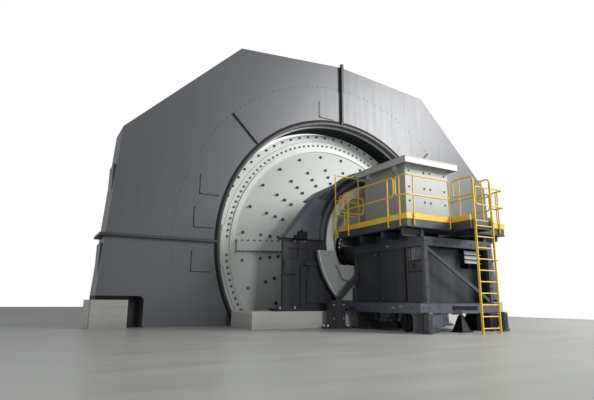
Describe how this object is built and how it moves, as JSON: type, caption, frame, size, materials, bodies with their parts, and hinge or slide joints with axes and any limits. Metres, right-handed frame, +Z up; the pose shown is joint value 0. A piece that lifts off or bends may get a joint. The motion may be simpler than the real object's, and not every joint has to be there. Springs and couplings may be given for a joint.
{
  "type": "ball mill",
  "caption": "Large grinding mill: a drum on two trunnion bearings, a polygonal drive guard around its feed end, and a hopper feeder with platform and ladder.",
  "frame": {"origin": "centre of the flat face under the feed bearing plinth, at floor level, below the drum's axis", "axes": "+Y along the drum's axis from the feed end to the discharge end, +Z up, +X to the right seen from the feed end"},
  "size_m": [17.86, 18.94, 12.7],
  "materials": {
    "concrete": "cast concrete, standing in for stone",
    "deck_steel": "grating steel",
    "feeder_paint": "satin blue black paint",
    "guard_paint": "satin slate grey paint",
    "guard_rim": "satin paint",
    "hopper_paint": "satin pale grey paint",
    "housing_paint": "satin blue black paint",
    "pale_paint": "satin pale grey green paint",
    "safety_yellow": "gloss yellow paint"
  },
  "bodies": {
    "foundation": {"access_ladder": "safety_yellow", "bearing_base_plates": "housing_paint", "discharge_bearing_cap": "housing_paint", "discharge_bearing_pedestal": "housing_paint", "discharge_plinth": "concrete", "feed_bearing_cap": "housing_paint", "feed_bearing_pedestal": "housing_paint", "feed_chute": "feeder_paint", "feed_hopper": "hopper_paint", "feed_hopper_rim": "hopper_paint", "feed_plinth": "concrete", "feed_spill_plate": "pale_paint", "feed_spout": "feeder_paint", "feed_trough": "pale_paint", "feeder_base_frame": "feeder_paint", "feeder_body_frame": "feeder_paint", "feeder_cabinets": "feeder_paint", "feeder_front_legs": "feeder_paint", "feeder_front_panel": "feeder_paint", "feeder_jack_stand": "feeder_paint", "feeder_outriggers": "feeder_paint", "feeder_pipes": "feeder_paint", "feeder_rear_legs": "feeder_paint", "feeder_side_panels": "feeder_paint", "feeder_wheels": "feeder_paint", "guard_hatch_covers": "guard_paint", "guard_joint_ribs": "guard_paint", "guard_lower_left": "guard_paint", "guard_lower_right": "guard_paint", "guard_opening_rim": "guard_rim", "guard_sole_plates": "guard_rim", "guard_upper_left": "guard_paint", "guard_upper_right": "guard_paint", "kick_plates": "safety_yellow", "landing_railings": "safety_yellow", "left_corner_railing": "safety_yellow", "platform_deck": "deck_steel", "platform_frame": "feeder_paint", "rear_barriers": "safety_yellow", "rear_railings": "safety_yellow", "right_corner_railing": "safety_yellow", "side_foundations": "concrete", "side_railings": "safety_yellow"},
    "drum": {"discharge_head_lower": "pale_paint", "discharge_head_upper": "pale_paint", "discharge_shell_lower": "pale_paint", "discharge_shell_upper": "pale_paint", "discharge_trunnion": "pale_paint", "discharge_trunnion_liner": "pale_paint", "feed_head_lower": "pale_paint", "feed_head_upper": "pale_paint", "feed_shell_lower": "pale_paint", "feed_shell_upper": "pale_paint", "feed_trunnion": "pale_paint", "feed_trunnion_liner": "pale_paint"}
  },
  "joints": [
    {"name": "drum_spin", "type": "hinge", "parent": "foundation", "child": "drum", "pos_m": [0, 0, 2.74], "axis": [0, 1, 0], "continuous": true}
  ]
}
